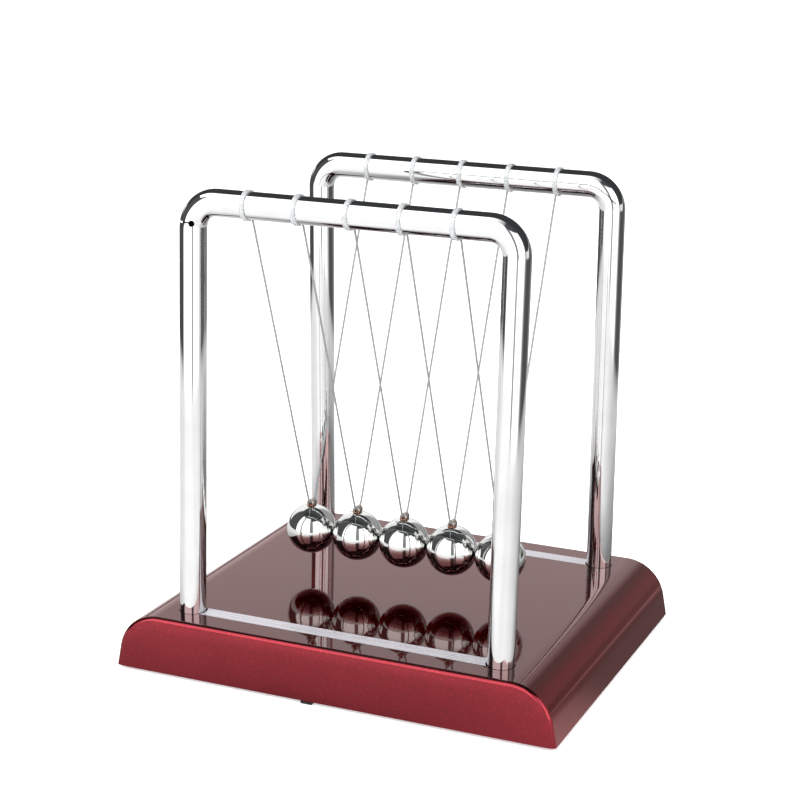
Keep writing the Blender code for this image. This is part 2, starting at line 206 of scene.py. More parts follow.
def rod(name, radius, bottom, top, place, steps, matrix=None):
    bm = bmesh.new()
    at = Matrix.Translation((place[0], place[1], (bottom + top) / 2))
    bmesh.ops.create_cone(
        bm,
        cap_ends=True,
        segments=steps,
        radius1=radius,
        radius2=radius,
        depth=top - bottom,
        matrix=(matrix or Matrix.Identity(4)) @ at,
    )
    return from_bmesh(name, bm)


def carve(obj, tools, operation="DIFFERENCE"):
    """Applies booleans with the tools, which are then removed."""
    for tool in tools:
        modifier = obj.modifiers.new("carve", "BOOLEAN")
        modifier.operation = operation
        modifier.object = tool
    graph = bpy.context.evaluated_depsgraph_get()
    mesh = bpy.data.meshes.new_from_object(obj.evaluated_get(graph))
    obj.modifiers.clear()
    obj.data = mesh
    for tool in tools:
        bpy.data.objects.remove(tool, do_unlink=True)


def sweep(name, path, radius, steps, closed=False):
    """A round strand along a path of points, its section turned as little as possible on the way."""
    count = len(path)
    tangents = []
    for index in range(count):
        before = path[(index - 1) % count] if closed or index else path[0]
        after = path[(index + 1) % count] if closed or index < count - 1 else path[-1]
        tangents.append((after - before).normalized())
    side = tangents[0].orthogonal().normalized()
    sides = [side]
    for first, second in zip(tangents, tangents[1:]):
        side = first.rotation_difference(second) @ side
        sides.append((side - second * side.dot(second)).normalized())
    twist = 0.0
    if closed:
        last = tangents[-1].rotation_difference(tangents[0]) @ sides[-1]
        twist = math.atan2(last.cross(sides[0]).dot(tangents[0]), last.dot(sides[0]))
    rings = []
    for index, (place, tangent, side) in enumerate(zip(path, tangents, sides)):
        other = tangent.cross(side)
        shift = twist * index / count
        ring = []
        for step in range(steps):
            angle = 2 * math.pi * step / steps + shift
            ring.append(place + (side * math.cos(angle) + other * math.sin(angle)) * radius)
        rings.append(ring)
    return loft(name, rings, closed)


def arc(centre, radius, first, last, steps):
    """Points (a, b) along an arc in a plane, angles in radians."""
    points = []
    for step in range(steps + 1):
        angle = first + (last - first) * step / steps
        points.append((centre[0] + radius * math.cos(angle), centre[1] + radius * math.sin(angle)))
    return points


def lean_matrix(side):
    """Tilts a frame inwards about its posts' feet."""
    pivot = Vector((0.0, side * POST_Y, BASE_TOP))
    return Matrix.Translation(pivot) @ Matrix.Rotation(side * LEAN, 4, "X") @ Matrix.Translation(-pivot)


# ---------------------------------------------------------------- material tools
def new_material(name):
    material = bpy.data.materials.new(name)
    material.use_nodes = True
    tree = material.node_tree
    return material, tree, tree.nodes["Principled BSDF"]


def add_node(tree, kind, **values):
    node = tree.nodes.new(kind)
    for key, value in values.items():
        if key in node.inputs:
            node.inputs[key].default_value = value
        else:
            setattr(node, key, value)
    return node


def ramp(tree, source, stops):
    """A colour ramp from (position, value or colour) stops."""
    node = add_node(tree, "ShaderNodeValToRGB")
    elements = node.color_ramp.elements
    while len(elements) < len(stops):
        elements.new(0.5)
    for element, (position, value) in zip(elements, stops):
        element.position = position
        color = value if isinstance(value, tuple) else (value, value, value)
        element.color = (*color, 1.0)
    tree.links.new(source, node.inputs["Fac"])
    return node.outputs["Color"]


def noise(tree, scale, detail=4.0, stretch=(1.0, 1.0, 1.0)):
    coordinates = add_node(tree, "ShaderNodeTexCoord")
    mapping = add_node(tree, "ShaderNodeMapping")
    mapping.inputs["Scale"].default_value = stretch
    texture = add_node(tree, "ShaderNodeTexNoise", Scale=scale, Detail=detail)
    tree.links.new(coordinates.outputs["Object"], mapping.inputs["Vector"])
    tree.links.new(mapping.outputs["Vector"], texture.inputs["Vector"])
    return texture.outputs["Fac"]


def cells(tree, scale):
    coordinates = add_node(tree, "ShaderNodeTexCoord")
    texture = add_node(tree, "ShaderNodeTexVoronoi", Scale=scale)
    tree.links.new(coordinates.outputs["Object"], texture.inputs["Vector"])
    return texture


def bump(tree, height, distance, strength):
    node = add_node(tree, "ShaderNodeBump", Strength=strength, Distance=distance)
    tree.links.new(height, node.inputs["Height"])
    return node.outputs["Normal"]


def math_node(tree, operation, first, second):
    node = add_node(tree, "ShaderNodeMath", operation=operation)
    for socket, value in zip(node.inputs, (first, second)):
        if isinstance(value, (int, float)):
            socket.default_value = value
        else:
            tree.links.new(value, socket)
    return node.outputs[0]


def mix_colors(tree, factor, first, second):
    """The colour mix node's A, B and Result are its sockets 6, 7 and 2."""
    node = add_node(tree, "ShaderNodeMix", data_type="RGBA")
    for socket, value in ((node.inputs[6], first), (node.inputs[7], second)):
        if isinstance(value, tuple):
            socket.default_value = (*value, 1.0)
        else:
            tree.links.new(value, socket)
    tree.links.new(factor, node.inputs[0])
    return node.outputs[2]


def two_tones(tree, scale, spread, dark, light):
    """Soft patches of two tones; spread is the part of the noise over which one turns into the other."""
    low, high = spread
    share = ramp(tree, noise(tree, scale), [(low, 0.0), (high, 1.0)])
    return mix_colors(tree, share, dark, light)


def roughness(tree, shader, scale, smoothest, roughest):
    uneven = ramp(tree, noise(tree, scale), [(0.3, smoothest), (0.7, roughest)])
    tree.links.new(uneven, shader.inputs["Roughness"])


def split_axes(tree, source):
    split = add_node(tree, "ShaderNodeSeparateXYZ")
    tree.links.new(source, split.inputs["Vector"])
    return split.outputs["X"], split.outputs["Y"], split.outputs["Z"]


def red_lacquer():
    """Dark red metallic flake paint under a clear coat, with painted shade where it lies level: level faces
    get a darker copy of the red.
    """
    material, tree, shader = new_material("red_flake_lacquer")
    flakes = cells(tree, 2400.0)
    flake = ramp(tree, flakes.outputs["Color"], [(0.0, 0.0), (0.62, 0.10), (0.80, 0.40), (0.93, 1.0)])
    ground = two_tones(tree, 60.0, (0.3, 0.7), (0.225, 0.004, 0.013), (0.255, 0.006, 0.016))
    upright = mix_colors(tree, flake, ground, (0.40, 0.012, 0.028))
    # Level faces such as the top get a darker copy of the same red: painted shade, not a different paint.
    level = mix_colors(tree, flake, (0.055, 0.002, 0.004), (0.10, 0.006, 0.010))
    _, _, rise = split_axes(tree, add_node(tree, "ShaderNodeTexCoord").outputs["Normal"])
    # The share of painted shade grows as the face turns level.
    painted_shade_share = ramp(tree, rise, [(0.70, 0.0), (0.97, 1.0)])
    tree.links.new(mix_colors(tree, painted_shade_share, upright, level), shader.inputs["Base Color"])
    shader.inputs["Metallic"].default_value = 1.0
    shader.inputs["Specular Tint"].default_value = (0.62, 0.12, 0.14, 1.0)
    roughness(tree, shader, 25.0, 0.13, 0.17)
    tree.links.new(bump(tree, flakes.outputs["Color"], 0.00002, 0.20), shader.inputs["Normal"])
    shader.inputs["Coat Weight"].default_value = 1.0
    shader.inputs["Coat IOR"].default_value = 1.40
    shader.inputs["Coat Roughness"].default_value = 0.025
    return material


def polished_metal(name, color, rough, haze, grain=900.0, depth=0.000002):
    """Metal with faint patches and rubbing marks, whose roughness runs from rough to haze."""
    material, tree, shader = new_material(name)
    dulling = 0.94
    shade = tuple(channel * dulling for channel in color)
    patches = two_tones(tree, 90.0, (0.35, 0.65), shade, color)
    tree.links.new(patches, shader.inputs["Base Color"])
    shader.inputs["Metallic"].default_value = 1.0
    marks = ramp(tree, noise(tree, 160.0, detail=6.0), [(0.40, rough), (0.72, haze)])
    tree.links.new(marks, shader.inputs["Roughness"])
    tree.links.new(bump(tree, noise(tree, grain, detail=3.0), depth, 0.3), shader.inputs["Normal"])
    return material


def brushed_silver():
    """Foil with fine streaks along X."""
    material, tree, shader = new_material("brushed_silver_foil")
    grain = noise(tree, 900.0, detail=5.0, stretch=(0.03, 1.0, 1.0))
    streaks = ramp(tree, grain, [(0.3, (0.42, 0.41, 0.44)), (0.7, (0.52, 0.50, 0.54))])
    tree.links.new(streaks, shader.inputs["Base Color"])
    shader.inputs["Metallic"].default_value = 0.5
    tree.links.new(ramp(tree, grain, [(0.3, 0.22), (0.7, 0.36)]), shader.inputs["Roughness"])
    tree.links.new(bump(tree, grain, 0.00001, 0.4), shader.inputs["Normal"])
    return material


def moulded(name, dark, light, rough, grain, depth):
    """Plastic or rubber with a fine moulded grain."""
    material, tree, shader = new_material(name)
    tree.links.new(two_tones(tree, 70.0, (0.3, 0.7), dark, light), shader.inputs["Base Color"])
    roughness(tree, shader, 120.0, rough, rough + 0.12)
    tree.links.new(bump(tree, noise(tree, grain), depth, 0.6), shader.inputs["Normal"])
    shader.inputs["Specular IOR Level"].default_value = 0.25
    return material


def copper_eyelet():
    """Copper tube whose upper side is painted pale grey, a painted highlight on its lit top."""
    material, tree, shader = new_material("copper_with_painted_highlight")
    copper = (0.27, 0.14, 0.10)
    # The pale grey above the edge height is a painted highlight where the top catches the light; below it
    # the copper shows.
    painted_highlight_tone = (0.50, 0.45, 0.42)
    highlight_edge = EYELET_HEIGHT - 0.0008
    _, _, place_z = split_axes(tree, add_node(tree, "ShaderNodeTexCoord").outputs["Object"])
    height = math_node(tree, "SUBTRACT", place_z, highlight_edge)
    share = math_node(tree, "MULTIPLY", height, 400.0)
    rough_edge = math_node(tree, "MULTIPLY", noise(tree, 1800.0), 0.5)
    # The share of the painted highlight, rising with height, with a ragged edge.
    painted_highlight_share = ramp(tree, math_node(tree, "ADD", share, rough_edge), [(0.40, 0.0), (0.75, 1.0)])
    tree.links.new(mix_colors(tree, painted_highlight_share, copper, painted_highlight_tone), shader.inputs["Base Color"])
    shader.inputs["Metallic"].default_value = 1.0
    roughness(tree, shader, 900.0, 0.18, 0.30)
    tree.links.new(bump(tree, noise(tree, 2200.0, detail=3.0), 0.00001, 0.4), shader.inputs["Normal"])
    return material


def clear_plastic(name, dark, light, rough, transmission, depth):
    """Milky or clear plastic that lets part of the light through."""
    material, tree, shader = new_material(name)
    tree.links.new(two_tones(tree, 500.0, (0.3, 0.7), dark, light), shader.inputs["Base Color"])
    roughness(tree, shader, 700.0, rough, rough + 0.1)
    shader.inputs["Transmission Weight"].default_value = transmission
    shader.inputs["IOR"].default_value = 1.45
    tree.links.new(bump(tree, noise(tree, 2500.0, detail=3.0), depth, 0.3), shader.inputs["Normal"])
    return material


MATERIALS = {}


def make_materials():
    MATERIALS["red_lacquer"] = red_lacquer()
    MATERIALS["chrome_tube"] = polished_metal("chrome_plate", (0.80, 0.80, 0.80), rough=0.03, haze=0.07)
    MATERIALS["polished_ball"] = polished_metal("polished_steel", (0.76, 0.77, 0.75), rough=0.03, haze=0.06)
    MATERIALS["plain_steel"] = polished_metal(
        "plain_steel", (0.50, 0.50, 0.51), rough=0.30, haze=0.45, grain=500.0, depth=0.00001
    )
    MATERIALS["screw_steel"] = polished_metal(
        "zinc_screw", (0.60, 0.61, 0.62), rough=0.22, haze=0.38, grain=700.0, depth=0.00001
    )
    MATERIALS["brass_insert"] = polished_metal(
        "turned_brass", (0.72, 0.52, 0.22), rough=0.20, haze=0.35, grain=700.0, depth=0.00001
    )
    MATERIALS["copper_eyelet"] = copper_eyelet()
    MATERIALS["silver_strip"] = brushed_silver()
    MATERIALS["black_plastic"] = moulded(
        "black_moulding",
        dark=(0.007, 0.007, 0.008),
        light=(0.016, 0.016, 0.017),
        rough=0.50,
        grain=1400.0,
        depth=0.00003,
    )
    MATERIALS["rubber_foot"] = moulded(
        "black_rubber",
        dark=(0.016, 0.016, 0.016),
        light=(0.036, 0.036, 0.036),
        rough=0.70,
        grain=1800.0,
        depth=0.00004,
    )
    MATERIALS["clear_collar"] = clear_plastic(
        "milky_clear",
        dark=(0.58, 0.60, 0.61),
        light=(0.66, 0.67, 0.68),
        rough=0.24,
        transmission=0.50,
        depth=0.000002,
    )
    MATERIALS["nylon_line"] = clear_plastic(
        "nylon",
        dark=(0.20, 0.205, 0.21),
        light=(0.25, 0.255, 0.26),
        rough=0.40,
        transmission=0.10,
        depth=0.00001,
    )


def finish_piece(obj, body, slot, nodes=()):
    """Gives a piece its material and its body, and hides the CAD nodes that it stands for."""
    obj.data.materials.clear()
    obj.data.materials.append(MATERIALS[slot])
    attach(obj, body)
    if nodes:
        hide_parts(*nodes)


# ---------------------------------------------------------------- base
def base_outline(inset, floor, steps):
    """The base's outline in X and Z, moved in by inset: slanted end walls, quarter arcs and a flat top."""
    radius = END_ARC_RADIUS - inset
    arc_start = BASE_HEIGHT - END_ARC_RADIUS * (1 - math.sin(END_DRAFT))
    centre_x = BASE_LENGTH / 2 - arc_start * math.tan(END_DRAFT) - END_ARC_RADIUS * math.cos(END_DRAFT)
    right = arc((centre_x, BASE_TOP - END_ARC_RADIUS), radius, END_DRAFT, math.pi / 2, steps)
    start_x, start_z = right[0]
    right.insert(0, (start_x + (start_z - floor) * math.tan(END_DRAFT), floor))
    return right + [(-x, z) for x, z in reversed(right)]


def corners():
    """The signs of X and Y at the four posts."""
    return [(sx, sy) for sy in (-1, 1) for sx in (-1, 1)]


def make_base():
    """The lacquered shell: rounded ends, softly rounded front and back edges, hollow below."""
    overshoot = 0.004
    below = SHELL_BOTTOM - overshoot
    arc_steps = 28
    tail_steps = 8
    round_steps = 10
    tail_drop = EDGE_TAIL * math.tan(EDGE_TILT) / 2
    tail_end = EDGE_ROUND * (1 - math.sin(EDGE_TILT))
    sections = []
    for step in range(tail_steps):
        share = step / tail_steps
        sections.append((tail_drop * share**2 - BASE_DEPTH / 2, tail_end + EDGE_TAIL * (1 - share)))
    for step in range(round_steps + 1):
        angle = EDGE_TILT + (math.pi / 2 - EDGE_TILT) * step / round_steps
        setback = tail_drop + EDGE_ROUND * (math.cos(EDGE_TILT) - math.cos(angle))
        sections.append((setback - BASE_DEPTH / 2, EDGE_ROUND * (1 - math.sin(angle))))
    sections += [(-y, inset) for y, inset in reversed(sections)]
    rings = [[Vector((x, y, z)) for x, z in base_outline(inset, below, arc_steps)] for y, inset in sections]
    shell = loft("lacquered_shell", rings)

    inner_half = BASE_DEPTH / 2 - WALL
    inner = base_outline(WALL, below - 0.001, arc_steps)
    hollow = loft("hollow", [[Vector((x, y, z)) for x, z in inner] for y in (-inner_half, inner_half)])
    cut_size = (0.3, 0.3, 2 * overshoot)
    floor = box("floor_cut", cut_size, (0.0, 0.0, SHELL_BOTTOM - overshoot))
    carve(shell, [floor, hollow])

    boss_top = BASE_TOP - WALL / 2
    bosses = []
    for sx, sy in corners():
        bosses.append(rod("boss", BOSS_RADIUS, BOSS_BOTTOM, boss_top, (sx * POST_X, sy * POST_Y), steps=40))
    carve(shell, bosses, "UNION")

    socket_top = BASE_TOP + 0.01
    passage_bottom = -0.01
    passage_top = SOCKET_BOTTOM + 0.002
    tools = []
    for sx, sy in corners():
        place = (sx * POST_X, sy * POST_Y)
        lean = lean_matrix(sy)
        tools.append(rod("socket", SOCKET_RADIUS, SOCKET_BOTTOM, socket_top, place, steps=64, matrix=lean))
        tools.append(rod("passage", SCREW_HOLE, passage_bottom, passage_top, place, steps=32, matrix=lean))
    for word, side in SIDES:
        low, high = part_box(f"{word}_strip")
        strip_length = high.x - low.x
        size = (strip_length + 2 * GAP, STRIP_WIDTH + GAP, 2 * (STRIP_DEPTH + GAP))
        tools.append(box("groove", size, (0.0, side * POST_Y, BASE_TOP)))
    carve(shell, tools)
    smooth(shell, 30, weighted=True)
    finish_piece(shell, "stand", "red_lacquer", ["base_shell"])


def keep_cad(node, slot, bevel):
    """A CAD node that stays as it is, with a finished material and softened edges."""
    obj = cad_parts[node]
    obj.data.materials.clear()
    obj.data.materials.append(MATERIALS[slot])
    modifier = obj.modifiers.new("soft_edges", "BEVEL")
    modifier.width = bevel
    modifier.segments = 2
    modifier.limit_method = "ANGLE"
    modifier.harden_normals = True


# ---------------------------------------------------------------- frames
def frame_path():
    """(centre, in-plane outward direction) along a frame's centre line, in X and Z."""
    above_base = BASE_TOP + 0.004
    below_vent = BAR_HEIGHT - VENT_DROP - 0.003
    heights = [TUBE_END, above_base, 0.06, 0.10, 0.14, below_vent]
    path = [((-POST_X, z), (-1.0, 0.0)) for z in heights]
    bend_steps = 20
    for sx, first, last in ((-1, math.pi, math.pi / 2), (1, math.pi / 2, 0.0)):
        centre = (sx * (POST_X - BEND_RADIUS), BAR_HEIGHT - BEND_RADIUS)
        for step in range(bend_steps + 1):
            angle = first + (last - first) * step / bend_steps
            out = (math.cos(angle), math.sin(angle))
            path.append(((centre[0] + BEND_RADIUS * out[0], centre[1] + BEND_RADIUS * out[1]), out))
        if sx < 0:
            for share in (0.25, 0.5, 0.75):
                x = -(POST_X - BEND_RADIUS) * (1 - 2 * share)
                path.append(((x, BAR_HEIGHT), (0.0, 1.0)))
    path += [((POST_X, z), (1.0, 0.0)) for z in reversed(heights)]
    return path


def make_frame(word, side):
    """A chromed tube bent into an upside-down U, open at its lower ends, with a small round vent hole."""
    steps = 64
    walls = []
    for radius in (TUBE_RADIUS, TUBE_RADIUS - TUBE_WALL):
        rings = []
        for (x, z), (out_x, out_z) in frame_path():
            ring = []
            for step in range(steps):
                angle = 2 * math.pi * (step + 0.5) / steps
                reach = radius * math.cos(angle)
                y = side * POST_Y + radius * math.sin(angle)
                ring.append(Vector((x + out_x * reach, y, z + out_z * reach)))
            rings.append(ring)
        walls.append(rings)
    outer, inner = walls
    tube = loft(f"{word}_tube", outer + list(reversed(inner)), closed=True)
    place = Matrix.Translation((side * POST_X, side * POST_Y, BAR_HEIGHT - VENT_DROP))
    outwards = Matrix.Rotation(VENT_TURN, 4, "Z") @ Matrix.Rotation(-side * math.pi / 2, 4, "X")
    vent = rod("vent", VENT_RADIUS, VENT_FROM, VENT_TO, (0.0, 0.0), steps=24, matrix=place @ outwards)
    slit_x, slit_y, slit_z = SLIT_PLACE
    slit = box("slit", SLIT_SIZE, (side * slit_x, side * slit_y, slit_z), place)
    carve(tube, [vent, slit])
    tube.data.transform(lean_matrix(side))
    smooth(tube, 40)
    finish_piece(tube, "stand", "chrome_tube", [f"{word}_frame"])


# ---------------------------------------------------------------- small parts
def make_screw(word, hand, sx, side):
    """A pan-head screw with a cross recess, seen from below."""
    node = f"{word}_{hand}_screw"
    low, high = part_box(node)
    bottom, top = low.z, high.z
    head_radius = (high.x - low.x) / 2
    head_top = bottom + 0.0018
    head_round = 0.0006
    thread_end = head_top + 0.0015
    shaft = 0.0019
    root = shaft * 0.80
    pitch = 0.0007
    z = top - shaft * 0.5
    profile = [(0.0, top), (shaft * 0.55, top), (shaft, z)]
    while z - pitch > thread_end:
        profile += [(root, z - pitch * 0.5), (shaft, z - pitch)]
        z -= pitch
    profile += [(shaft, head_top), (head_radius, head_top), (head_radius, head_top - head_round)]
    profile += [(head_radius * 0.93, bottom + head_round), (head_radius * 0.70, bottom + 0.0001)]
    profile.append((0.0, bottom))
    screw = lathe(f"{word}_{hand}_cross_screw", profile, 40)
    recess_length, recess_width, recess_depth = 0.0034, 0.0007, 0.0018
    wings = [
        box("wing", (recess_length, recess_width, recess_depth), (0.0, 0.0, bottom)),
        box("wing", (recess_width, recess_length, recess_depth), (0.0, 0.0, bottom)),
    ]
    carve(screw, wings)
    place = Matrix.Translation((sx * POST_X, side * POST_Y, 0.0))
    screw.data.transform(lean_matrix(side) @ place)
    smooth(screw, 35)
    finish_piece(screw, "stand", "screw_steel", [node])


def make_foot(word, hand):
    """A round rubber foot with a softened rim and a moulded dimple."""
    node = f"{word}_{hand}_foot"
    low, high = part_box(node)
    centre = (low + high) / 2
    radius = (high.x - low.x) / 2
    top = high.z
    chamfer = 0.0001
    soft = 0.0005
    dimple = [(0.0022, 0.0), (0.0018, 0.0002), (0.0, 0.0003)]
    profile = [(0.0, top), (radius - chamfer, top), (radius, top - chamfer)]
    profile += arc((radius - soft, soft), soft, 0.0, -math.pi / 2, 6)
    profile += dimple
    foot = lathe(f"{word}_{hand}_rubber", profile, 48)
    foot.data.transform(Matrix.Translation((centre.x, centre.y, 0.0)))
    smooth(foot, 40)
    finish_piece(foot, "stand", "rubber_foot", [node])


def make_collar(word, number):
    """A clear ring with rounded lips, snug on the bar."""
    node = f"{word}_collar_{number}"
    low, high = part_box(node)
    centre = (low + high) / 2
    half = (high.x - low.x) / 2
    outer = (high.z - low.z) / 2
    lip = 0.00025
    waist = outer - 0.00012
    profile = [(COLLAR_INNER, -half)]
    profile += arc((outer - lip, -half + lip), lip, -math.pi / 2, 0.0, 4)
    profile += [(waist, -half * 0.35), (waist, half * 0.35)]
    profile += arc((outer - lip, half - lip), lip, 0.0, math.pi / 2, 4)
    profile += [(COLLAR_INNER, half)]
    ring = lathe(f"{word}_clear_ring_{number}", profile, 64, closed=True)
    ring.data.transform(Matrix.Translation(centre) @ Matrix.Rotation(math.pi / 2, 4, "Y"))
    smooth(ring, 50)
    finish_piece(ring, "stand", "clear_collar", [node])


def make_knot(word, number):
    """A small overhand knot in the line's end: a trefoil curve, three units high each way."""
    node = f"{word}_knot_{number}"
    low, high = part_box(node)
    centre = (low + high) / 2
    size = ((high.z - low.z) / 2 - KNOT_STRAND) / 3.0
    path = []
    count = 60
    for step in range(count):
        t = 2 * math.pi * step / count
        x = math.sin(t) + 2 * math.sin(2 * t)
        y = math.cos(t) - 2 * math.cos(2 * t)
        z = -math.sin(3 * t)
        path.append(centre + Vector((z * 1.2, y, x)) * size)
    knot = sweep(f"{word}_overhand_{number}", path, KNOT_STRAND, 10, closed=True)
    smooth(knot, 60)
    finish_piece(knot, "stand", "nylon_line", [node])


def ball_facts(number):
    """The centre and radius of a ball, measured below the trough in its top."""
    low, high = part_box(f"ball_{number}")
    radius = (high.x - low.x) / 2
    return Vector(((low.x + high.x) / 2, (low.y + high.y) / 2, low.z + radius)), radius


def make_ball(number):
    """A polished ball with a short trough across its top, in which its eyelet is brazed."""
    centre, radius = ball_facts(number)
    low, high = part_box(f"eyelet_{number}")
    steps = 72
    profile = []
    for step in range(steps + 1):
        angle = math.pi * step / steps
        profile.append((radius * math.sin(angle), radius * math.cos(angle)))
    profile[0] = (0.0, radius)
    profile[-1] = (0.0, -radius)
    ball = lathe(f"steel_ball_{number}", profile, 96)
    ball.data.transform(Matrix.Translation(centre))
    reach = (high.y - low.y) / 2 + GAP
    trough_radius = (high.z - low.z) / 2 + GAP / 3
    along = Matrix.Translation((low + high) / 2) @ Matrix.Rotation(math.pi / 2, 4, "X")
    carve(ball, [rod("trough", trough_radius, -reach, reach, (0.0, 0.0), steps=32, matrix=along)])
    smooth(ball, 60)
    finish_piece(ball, f"pendulum_{number}", "polished_ball", [f"ball_{number}"])


def make_eyelet(number):
    """A short tube with rolled lips."""
    node = f"eyelet_{number}"
    low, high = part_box(node)
    centre = (low + high) / 2
    half = (high.y - low.y) / 2
    outer = (high.z - low.z) / 2
    lip = (outer - EYELET_BORE) / 2
    middle = EYELET_BORE + lip
    waist = outer - 0.00012
    profile = arc((middle, half - lip), lip, math.pi, 0.0, 6)
    profile += [(waist, half * 0.45), (waist, -half * 0.45)]
    profile += arc((middle, -half + lip), lip, 0.0, -math.pi, 6)
    tube = lathe(f"eyelet_tube_{number}", profile, 32, closed=True)
    tube.data.transform(Matrix.Translation(centre) @ Matrix.Rotation(math.pi / 2, 4, "X"))
    smooth(tube, 50)
    finish_piece(tube, f"pendulum_{number}", "copper_eyelet", [node])


def make_braze(number):
    """The oval bead of braze that holds an eyelet to its ball."""
    centre, radius = ball_facts(number)
    half_x, half_y = 0.0019, 0.0017
    sunk, rise = 0.0004, 0.0007
    taper = 0.30
    levels, turns = 8, 32
    rings = []
    for level in range(levels + 1):
        slope = math.pi / 2 * level / levels
        spread = 1.0 - taper * math.sin(slope)
        z = centre.z + radius - sunk + rise * (1 - math.cos(slope))
        ring = []
        for turn in range(turns):
            angle = 2 * math.pi * turn / turns
            x = half_x * spread * math.cos(angle)
            y = half_y * spread * math.sin(angle)
            ring.append(Vector((centre.x + x, centre.y + y, z)))
        rings.append(ring)
    braze = loft(f"braze_{number}", rings)
    smooth(braze, 50)
    finish_piece(braze, f"pendulum_{number}", "copper_eyelet")


def make_line(number):
    """The nylon line: from the front bar down through the eyelet and up to the back bar."""
    knot_low, knot_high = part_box(f"front_knot_{number}")
    knot = (knot_low + knot_high) / 2
    low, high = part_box(f"eyelet_{number}")
    middle = (low + high) / 2
    half = (high.y - low.y) / 2
    lift = 0.0002
    bend = Vector((knot.x, -(half + 0.0008), middle.z + 0.0008))
    inside = Vector((knot.x, -(half - 0.0004), middle.z + lift))
    top = knot + (bend - knot).normalized() * KNOT_REACH
    start = top + (bend - top) * 0.97
    path = [top + (bend - top) * share for share in (0.0, 0.25, 0.5, 0.75)] + [start]
    blend = 6
    for step in range(1, blend + 1):
        t = step / blend
        path.append(start * (1 - t) ** 2 + bend * 2 * t * (1 - t) + inside * t * t)
    path.append(Vector((knot.x, -half * 0.35, middle.z + lift)))
    path += [Vector((point.x, -point.y, point.z)) for point in reversed(path)]
    line = sweep(f"nylon_line_{number}", path, LINE_RADIUS, 12)
    smooth(line, 50)
    finish_piece(line, f"pendulum_{number}", "nylon_line", [f"line_{number}"])


# ---------------------------------------------------------------- stage
CARD_THICKNESS = 0.0004


def only_in_reflections(obj):
    obj.visible_camera = False
    obj.visible_diffuse = False
    obj.visible_shadow = False
    obj.visible_volume_scatter = False


def turned(tree, source):
    """Turns directions so that -Y points towards the camera's side."""
    mapping = add_node(tree, "ShaderNodeMapping", vector_type="POINT")
    mapping.inputs["Rotation"].default_value = (0.0, 0.0, -CAMERA_AZIMUTH)
    tree.links.new(source, mapping.inputs["Vector"])
    return split_axes(tree, mapping.outputs["Vector"])


def bearing(tree, x, y):
    """0 to 1 going round: 0.5 is the camera's side, below it the picture's left, above it the right."""
    angle = math_node(tree, "ARCTAN2", x, math_node(tree, "MULTIPLY", y, -1.0))
    return math_node(tree, "ADD", math_node(tree, "DIVIDE", angle, 2 * math.pi), 0.5)


def around(degrees_and_values):
    """Ramp stops for a bearing, from stops in degrees round from the camera's side."""
    return [(0.5 + degrees / 360, value) for degrees, value in degrees_and_values]


def make_world():
    """A white room: bright windows left and right of the camera, darker gaps between, a pale backdrop."""
    walls = [
        (-180, 0.62), (-136, 0.62), (-128, 0.05), (-76, 0.05), (-70, 1.0),
        (-9, 1.0), (-6, 0.16), (8, 0.16), (10, 1.0), (56, 1.0), (60, 0.14), (66, 0.14), (72, 0.52),
        (100, 0.52), (108, 0.20), (150, 0.22), (160, 0.62), (180, 0.62),
    ]
    below = [
        (-180, 0.05), (-86, 0.04), (-76, 1.0),
        (-10, 1.0), (-7, 0.22), (3, 0.22), (6, 1.0), (48, 0.95), (64, 0.16), (70, 0.09), (80, 0.05),
        (118, 0.05), (130, 0.16), (180, 0.16),
    ]
    horizon = [(-180, 0.34), (-100, 0.34), (-90, 0.5), (96, 0.5), (104, 0.28), (180, 0.28)]
    ceiling = [
        (-180, 0.706), (-84, 0.706), (-76, 0.755), (-2, 0.755), (2, 0.636), (100, 0.636), (118, 0.706),
        (180, 0.706),
    ]
    windows = [
        (-76, 0.0), (-70, 1.0), (-9, 1.0), (-6, 0.0), (8, 0.0), (10, 1.0), (56, 1.0), (60, 0.0),
    ]
    ceiling_color = (0.04, 0.042, 0.045)
    ceiling_scale = 1.1
    room_strength = 1.9
    window_strength = 1.0

    world = bpy.data.worlds.new("studio")
    bpy.context.scene.world = world
    world.use_nodes = True
    tree = world.node_tree
    background = tree.nodes["Background"]
    coordinates = add_node(tree, "ShaderNodeTexCoord")
    x, y, z = turned(tree, coordinates.outputs["Generated"])
    angle = bearing(tree, x, y)

    height = math_node(tree, "ADD", z, ramp(tree, angle, around(horizon)))
    above = ramp(tree, height, [(0.36, 0.0), (0.42, 1.0)])
    sides = mix_colors(tree, above, ramp(tree, angle, around(below)), ramp(tree, angle, around(walls)))
    edge = math_node(tree, "MULTIPLY", ramp(tree, angle, around(ceiling)), ceiling_scale)
    cover = ramp(tree, math_node(tree, "SUBTRACT", z, edge), [(0.0, 0.0), (0.05, 1.0)])
    room = mix_colors(tree, cover, sides, ceiling_color)
    path = add_node(tree, "ShaderNodeLightPath")
    seen = mix_colors(tree, path.outputs["Is Camera Ray"], room, (1.0, 1.0, 1.0))
    tree.links.new(seen, background.inputs["Color"])

    glare = ramp(tree, angle, around(windows))
    glare = math_node(tree, "MULTIPLY", glare, ramp(tree, z, [(0.42, 1.0), (0.66, 0.0)]))
    glare = math_node(tree, "MULTIPLY", glare, above)
    gain = math_node(tree, "MULTIPLY", glare, window_strength)
    gain = math_node(tree, "ADD", gain, room_strength)
    strength = add_node(tree, "ShaderNodeMix", data_type="FLOAT")
    tree.links.new(gain, strength.inputs[2])
    strength.inputs[3].default_value = 1.0
    tree.links.new(path.outputs["Is Camera Ray"], strength.inputs[0])
    tree.links.new(strength.outputs[0], background.inputs["Strength"])


